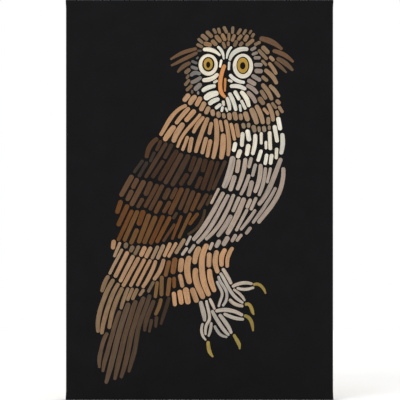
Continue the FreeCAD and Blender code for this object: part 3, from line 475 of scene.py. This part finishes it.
cloth = canvas_cloth()
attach(cloth, "panel")
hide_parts("canvas_front", "canvas_wrap_left", "canvas_wrap_right", "canvas_wrap_top",
            "canvas_wrap_bottom")


# ---------------------------------------------------------------- the paint

PAINT_THICK = 0.8 * MM
# How far apart the rows of points along a stroke are, how many rows it has at least, and how many
# faces lie across it.
ROWS_EVERY, FEWEST_ROWS = 0.7 * MM, 10
ACROSS = 12
# How far in from its edge the paint reaches its full height.
RIM = 0.4 * MM
# How much a stroke swells towards its middle, as a share, and how far its edges waver.
SWELL = 0.04
WAVER, WAVER_EVERY = 0.1 * MM, 4.5 * MM
# Shares of the paint's thickness: its flat top, the bead along its sides, how much it has lost at
# its tip, and the least and the most that any place keeps.
BODY, BEAD, TIP_LOSS, LEAST, MOST = 0.72, 0.1, 0.18, 0.3, 0.98
BEAD_IN, BEAD_WIDTH = 0.8 * MM, 0.7 * MM
# The ridges that bristles leave: how high, as a share of the thickness, and how far apart.
RIDGES = ((0.05, 2.1 * MM), (0.04, 1.3 * MM), (0.03, 0.8 * MM))
SWAY, SWAY_EVERY = 0.25 * MM, 11 * MM
# The paint is bedded this far into the cloth, and no part of it is thinner than the film.
BEDDED, FILM = 0.05 * MM, 0.02 * MM
# In millimetres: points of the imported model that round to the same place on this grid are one
# point, and so are points of a skin that are nearer to each other than this.
GRID, TOUCHING = 0.001, 0.0005
# Faces of the paint that meet at less than this many degrees are shaded as one surface.
SMOOTH_BELOW = 60

# The paints on the palette, as they would be mixed: whites, greys, yellows, tans and browns.
PALETTE = {
    "ivory": "F8F2DC", "cream": "F0E7D4", "chalk": "E5E1D3", "pearl": "D6D2C6",
    "shell": "C6B9AA", "dove": "B6A798", "ash": "ADA59B", "mushroom": "A59488",
    "pewter": "90867D", "lead": "6C6A66",
    "apricot": "D8905A", "amber": "CC8A4C", "ochre": "BA933E", "brass": "A08B4A",
    "peach": "BE946E", "tan": "B08A68", "sand": "A28568", "khaki": "8F7E68",
    "fawn": "977756", "hazel": "866E55", "dun": "7C664F", "walnut": "6F513A", "bark": "685340",
    "saddle": "785D3B", "chestnut": "7C502C", "nut": "624732", "bronze": "6D4B28",
    "russet": "68411E", "fox": "5C3D22", "umber": "533924", "moss": "473622",
    "smoke": "4E433C", "cocoa": "483425", "peat": "412B1B", "earth": "3A2E26", "pitch": "38291D",
}
# What each group is painted with: either the paints where it begins and where it ends, left to
# right or from low to high, or one paint for each stroke from left to right.
TO_RIGHT, UPWARDS = 0, 1
PAINTED = {
    "beak": ("apricot", "amber", TO_RIGHT),
    "breast_grey_hem": ("dove", "mushroom", TO_RIGHT),
    "breast_grey_lower": ("mushroom", "dove", UPWARDS),
    "breast_grey_upper": ("mushroom", "dove", UPWARDS),
    "breast_white": ("cream", "chalk", TO_RIGHT),
    "brows": ("ivory", "pearl", TO_RIGHT),
    "cape": ("tan", "peach", UPWARDS),
    "cheek_left": ("pewter", "lead", UPWARDS),
    "cheek_right": ("mushroom", "pewter", UPWARDS),
    "chin": ("pearl", "ivory", UPWARDS),
    "claws": ("brass", "brass", TO_RIGHT),
    "crown_inner": ("fawn", "dun", TO_RIGHT),
    "crown_middle": ("fawn", "hazel", TO_RIGHT),
    "crown_outer": ("hazel", "dun", TO_RIGHT),
    "ear_tuft_left": ("bark", "walnut", UPWARDS),
    "ear_tuft_right": ("bark", "walnut", UPWARDS),
    "eye_rims": ("cream", "chalk", TO_RIGHT),
    "face_left": ("ivory", "pearl", TO_RIGHT),
    "face_right": ("pearl", "chalk", TO_RIGHT),
    "head_side_right": ("hazel", "sand", TO_RIGHT),
    "irises": ("ochre", "ochre", TO_RIGHT),
    "leg_left": ("ash", "shell", UPWARDS),
    "leg_right": ("ash", "shell", TO_RIGHT),
    "nostril_strokes": ("ivory", "chalk", TO_RIGHT),
    "ruff": ("khaki", "peach", UPWARDS),
    "rump_band": "tan sand dun dun dun tan tan sand sand tan tan sand",
    "tail_coverts_lower": ("fawn", "hazel", UPWARDS),
    "tail_coverts_upper": "sand tan tan tan tan tan tan dun tan",
    "tail_feathers": ("bark", "pitch", TO_RIGHT),
    "temple_left": ("hazel", "smoke", TO_RIGHT),
    "thigh": ("peach", "peach", TO_RIGHT),
    "toes_left": ("ash", "shell", UPWARDS),
    "toes_right": ("dove", "shell", UPWARDS),
    "undertail": ("saddle", "chestnut", TO_RIGHT),
    "wing_row_lower": ("russet russet russet bronze bronze russet bronze bronze russet russet fox "
                       "moss russet bronze russet moss"),
    "wing_row_middle": ("nut nut nut nut umber umber umber umber fox umber fox umber fox umber "
                        "umber fox umber moss"),
    "wing_row_upper": ("earth earth umber earth cocoa peat cocoa peat cocoa cocoa cocoa peat peat "
                       "cocoa peat peat peat peat cocoa"),
}
RINGS = ("eye_rims", "irises")
# How much one load of paint differs from the next in lightness and in warmth.
LIGHTER, WARMER = 0.06, 0.022


def outlines_of(node):
    """The outlines (x, z) of a painted node's strokes, from left to right, each in walking order.

    An edge that only one of the front triangles has is on an outline and leads to the next point.
    All outlines are found at once: the lowest point number that can be reached names each.
    """
    mesh = bpy.data.objects[node].data
    points = np.empty(len(mesh.vertices) * 3)
    mesh.vertices.foreach_get("co", points)
    points = points.reshape(-1, 3)
    corners = np.empty(len(mesh.loops), int)
    mesh.loops.foreach_get("vertex_index", corners)
    triangles = corners.reshape(-1, 3)
    front = points[:, 1] < points[:, 1].min() + 0.1 * PAINT_THICK
    triangles = triangles[front[triangles].all(axis=1)]
    keys, merged = np.unique(np.round(points[:, [0, 2]] / (GRID * MM)).astype(int), axis=0,
                             return_inverse=True)
    triangles = merged.ravel()[triangles]
    begin, end = triangles.ravel(), np.roll(triangles, -1, axis=1).ravel()
    count = len(keys)
    outer = ~np.isin(begin * count + end, end * count + begin)
    following = np.arange(count)
    following[begin[outer]] = end[outer]
    names, jump = np.arange(count), following.copy()
    for _ in range(int(math.log2(count)) + 1):
        names = np.minimum(names, names[jump])
        jump = jump[jump]
    starts, sizes = np.unique(names[begin[outer]], return_counts=True)
    steps = [starts]
    for _ in range(sizes.max() - 1):
        steps.append(following[steps[-1]])
    walked = np.array(steps)
    places = keys * GRID * MM
    lines = [places[walked[:size, at]] for at, size in enumerate(sizes)]
    return sorted(lines, key=lambda line: (line[:, 0].min() + line[:, 0].max(), line[:, 1].max()))


def stroke_rails(outline):
    """The two long sides of a stroke, point for point, from its root to its tip.

    The ends are the two points that lie furthest apart, and the wider end is the root.
    """
    gaps = np.linalg.norm(outline[:, None] - outline[None], axis=2)
    first, second = sorted(np.unravel_index(gaps.argmax(), gaps.shape))
    turned = np.roll(outline, -first, axis=0)
    one = turned[:second - first + 1]
    other = np.vstack([turned[second - first:], turned[:1]])[::-1]
    length = np.hypot(*np.diff(one, axis=0).T).sum()
    count = max(FEWEST_ROWS, int(length / ROWS_EVERY))
    one, other = along_line(one, count), along_line(other, count)
    widths = np.hypot(*(one - other).T)
    near = count // 5
    if widths[near] < widths[-near - 1]:
        one, other = one[::-1], other[::-1]
    return one, other


def ring_rails(outer, inner):
    """The outer and the inner edge of a ring, matched by their angle round its middle."""
    middle = (outer.min(axis=0) + outer.max(axis=0)) / 2
    count = int(np.hypot(*np.diff(outer, axis=0).T).sum() / ROWS_EVERY)
    around = np.linspace(-math.pi, math.pi, count, endpoint=False)
    rails = []
    for edge in (outer, inner):
        angles = np.arctan2(*(edge - middle).T[::-1])
        order = np.argsort(angles)
        rails.append(np.stack([np.interp(around, angles[order], edge[order, axis],
                                         period=2 * math.pi) for axis in (0, 1)], axis=1))
    return rails


def brushed(one, other, closed, draw):
    """One stroke as a closed skin, with its brush coordinates (along, across, mark) in mm.

    The rails swell a little towards the middle and waver as a hand does. Between them the paint
    stands up in a quarter circle from each edge. Its top is flat, plus three sine ridges that run
    the length of the stroke and sway a little sideways, plus a bell-shaped bead at the sides where
    the brush pushed the paint out, and it thins evenly towards the tip.
    """
    middle = (one + other) / 2
    run = np.concatenate([[0], np.cumsum(np.hypot(*np.diff(middle, axis=0).T))])[:, None]
    if not closed:
        swell = 1 + SWELL * np.sin(math.pi * run / run[-1])
        for edge_line, start in zip((one, other), draw.uniform(0, 2 * math.pi, 2)):
            waver = WAVER * np.sin(run / WAVER_EVERY + start) * np.sin(math.pi * run / run[-1])
            half = edge_line - middle
            unit = half / np.maximum(np.hypot(*half.T)[:, None], 0.01 * MM)
            edge_line[:] = middle + half * swell + unit * waver
    share = (1 - np.cos(np.linspace(0, math.pi, ACROSS + 1))) / 2
    spread = one[:, None] + (other - one)[:, None] * share[None, :, None]
    width = np.hypot(*(other - one).T)[:, None]
    across = (share[None] - 0.5) * width
    edge = np.minimum(share, 1 - share)[None] * width
    if not closed:
        edge = np.minimum(edge, np.minimum(run, run[-1] - run) + 0.5 * edge)
    rise = np.clip(edge / RIM, 0, 1)
    rim = np.sqrt(1 - (1 - rise) ** 2)
    phases = draw.uniform(0, 2 * math.pi, 4)
    sway = SWAY * np.sin(run / SWAY_EVERY + phases[3])
    ridges = sum(share_high * np.sin(2 * math.pi * (across + sway) / pitch + phase)
                 for (share_high, pitch), phase in zip(RIDGES, phases))
    bead = BEAD * np.exp(-((edge - BEAD_IN) / BEAD_WIDTH) ** 2)
    thinning = 1.0 if closed else 1 - TIP_LOSS * run / run[-1]
    body = np.clip(BODY * thinning + bead + ridges, LEAST, MOST)
    height = PAINT_THICK * rim * body + FILM
    top = np.stack([spread[:, :, 0], FRONT_Y - height, spread[:, :, 1]], axis=2)
    under = np.stack([top[:, -1], top[:, 0]], axis=1)
    under[:, :, 1] = FRONT_Y + BEDDED
    skin = np.concatenate([top, under], axis=1)
    # Each stroke takes its streaks from a place of its own in the pattern.
    mark = draw.uniform(0, 400)
    brush = np.stack(np.broadcast_arrays(run / MM, across / MM, mark), axis=2)
    brush = np.concatenate([brush, brush[:, [-1, 0]]], axis=1)
    faces = grid_faces(*skin.shape[:2], rows_close=closed, columns_close=True)
    heading = np.roll(middle, -1, axis=0) - middle
    side = other - one
    if np.sum((heading[:, 0] * side[:, 1] - heading[:, 1] * side[:, 0])[:-1]) > 0:
        faces = faces[:, ::-1]
    return skin.reshape(-1, 3), brush.reshape(-1, 3), faces


def shade_of(node, place, number, draw):
    """The linear colour of one stroke: its group's own paint, and the small difference that mixing
    a fresh load of paint makes. The place is how far it is across and up its group, 0 to 1."""
    paints = PAINTED[node]
    if isinstance(paints, str):
        colour = np.array(linear(PALETTE[paints.split()[number]]))
    else:
        begin, end = [np.array(linear(PALETTE[name])) for name in paints[:2]]
        along = place[paints[2]]
        colour = begin * (1 - along) + end * along
    lighter, warmer = draw.normal(0, LIGHTER), draw.normal(0, WARMER)
    colour[:3] *= (1 + lighter) * (1 + np.array([warmer, 0, -warmer]))
    return colour


def close_poles(mesh):
    """Merges the points that meet at each end of a stroke, so that its skin is closed."""
    work = bmesh.new()
    work.from_mesh(mesh)
    bmesh.ops.remove_doubles(work, verts=work.verts, dist=TOUCHING * MM)
    work.to_mesh(mesh)
    work.free()


def painted_group(node, seed):
    """Every stroke of one painted node as a single piece."""
    draw = np.random.default_rng(seed)
    outlines = outlines_of(node)
    if node in RINGS:
        spans = np.array([np.ptp(line, axis=0).sum() for line in outlines])
        wide = spans > spans.mean()
        pairs = zip([line for line, big in zip(outlines, wide) if big],
                    [line for line, big in zip(outlines, wide) if not big])
        rails = [ring_rails(*pair) for pair in pairs]
    else:
        rails = [stroke_rails(line) for line in outlines]
    low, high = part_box(node)
    low, high = np.array([low.x, low.z]), np.array([high.x, high.z])
    skins, brushes, colours, faces, count = [], [], [], [], 0
    for number, (one, other) in enumerate(rails):
        skin, brush, quads = brushed(one, other, node in RINGS, draw)
        middle = (one.mean(axis=0) + other.mean(axis=0)) / 2
        place = np.clip((middle - low) / (high - low), 0, 1)
        colour = shade_of(node, place, number, draw)
        skins.append(skin)
        brushes.append(brush)
        colours.append(np.tile(colour, (len(skin), 1)))
        faces.append(quads + count)
        count += len(skin)
    piece = new_piece("paint_" + node, np.vstack(skins), np.vstack(faces).tolist())
    mesh = piece.data
    set_attribute(mesh, "brush", "FLOAT_VECTOR", np.vstack(brushes))
    set_attribute(mesh, "paint", "FLOAT_COLOR", np.vstack(colours))
    close_poles(mesh)
    mesh.polygons.foreach_set("use_smooth", np.ones(len(mesh.polygons), bool))
    mesh.set_sharp_from_angle(angle=math.radians(SMOOTH_BELOW))
    mesh.materials.append(ACRYLIC)
    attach(piece, "panel")
    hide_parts(node)
    return piece


for seed, node in enumerate(sorted(PAINTED)):
    painted_group(node, seed)


# ---------------------------------------------------------------- studio

# How far the round floor reaches, and how many straight edges stand in for its circle.
FLOOR_REACH, FLOOR_EDGES = 1.8, 96
# How bright the white surround is where the camera sees it, and as a light.
SURROUND_SEEN, SURROUND_LIGHT = 1.0, 0.84
# Each square lamp's place, width and power in watts.
LAMPS = {
    "key": ((-1.6, -2.4, 2.4), 1.6, 38),
    "back": ((1.5, 2.2, 2.0), 1.8, 30),
}
LENS, FILM_WIDTH = 200, 36
# The panel fills this much of the frame's height. The camera is a hair to its right and below.
FILL = 1.0015
CAMERA_RIGHT, CAMERA_BELOW = 0.7 * MM, 0.2 * MM


def white_floor():
    """A round sheet of plain white paper that the panel stands on."""
    turns = [2 * math.pi * edge / FLOOR_EDGES for edge in range(FLOOR_EDGES)]
    rim = [(FLOOR_REACH * math.cos(turn), FLOOR_REACH * math.sin(turn), 0) for turn in turns]
    floor = new_piece("floor", rim, [tuple(range(FLOOR_EDGES))])
    # Matt white paper, off white by so little that it only keeps the floor from looking drawn.
    paper, tree, shader = new_material("white_paper_sweep", Roughness=0.9)
    place = add(tree, "TexCoord").outputs["Object"]
    tone = add(tree, "TexNoise", {"Vector": place}, Scale=3.0, Detail=3.0).outputs["Fac"]
    connect(tree, shader, ramp(tree, tone, (0.3, "F6F6F5"), (0.7, "FAFAF9")))
    floor.data.materials.append(paper)


def white_surround():
    """An even white room: pure white to the camera, a little dimmer as a light."""
    world = bpy.data.worlds.new("soft_studio")
    bpy.context.scene.world = world
    world.use_nodes = True
    tree = world.node_tree
    surround = tree.nodes["Background"]
    surround.inputs["Color"].default_value = (1, 1, 1, 1)
    rays = add(tree, "LightPath").outputs["Is Camera Ray"]
    strength = add(tree, "MapRange", {"Value": rays}, To_Min=SURROUND_LIGHT, To_Max=SURROUND_SEEN)
    tree.links.new(strength.outputs["Result"], surround.inputs["Strength"])


def soft_lamps():
    """A large soft key light from the upper left and a second one from behind."""
    for name, (place, width, power) in LAMPS.items():
        light = bpy.data.lights.new(name, "AREA")
        light.shape = "SQUARE"
        light.size = width
        light.energy = power
        lamp = bpy.data.objects.new(name, light)
        lamp.location = place
        aim = Vector((0, 0, MIDDLE_Z)) - lamp.location
        lamp.rotation_euler = aim.to_track_quat("-Z", "Y").to_euler()
        bpy.context.scene.collection.objects.link(lamp)


def camera_square_on():
    """A long lens that looks straight at the painted side."""
    camera = bpy.data.cameras.new("camera")
    camera.lens = LENS
    camera.sensor_width = FILM_WIDTH
    holder = bpy.data.objects.new("camera", camera)
    distance = HALF_HEIGHT / (FILM_WIDTH / 2 / LENS) / FILL
    holder.location = (CAMERA_RIGHT, FRONT_Y - distance, MIDDLE_Z - CAMERA_BELOW)
    holder.rotation_euler = (math.pi / 2, 0, 0)
    bpy.context.scene.collection.objects.link(holder)
    bpy.context.scene.camera = holder
    bpy.context.scene.view_settings.view_transform = "Standard"


white_floor()
white_surround()
soft_lamps()
camera_square_on()
